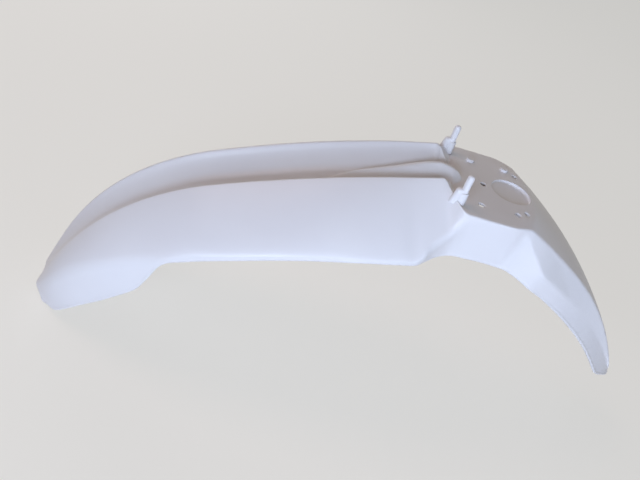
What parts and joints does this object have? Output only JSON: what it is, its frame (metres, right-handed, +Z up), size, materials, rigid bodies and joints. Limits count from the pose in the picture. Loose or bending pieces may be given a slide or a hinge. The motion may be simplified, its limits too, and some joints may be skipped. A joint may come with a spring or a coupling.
{
  "type": "motorcycle front mudguard",
  "caption": "Motorcycle front mudguard moulded in one piece: a long valleyed blade with side skirts, a drilled mounting deck with upright pegs, and a curled tail.",
  "frame": {"origin": "middle of the four main mounting holes, on the top face of the deck", "axes": "+X back towards the tail, +Y across, +Z up out of the deck"},
  "size_m": [0.6968, 0.2128, 0.3068],
  "materials": {
    "shell": "satin"
  },
  "bodies": {
    "root": {"mudguard": "shell"}
  },
  "joints": []
}
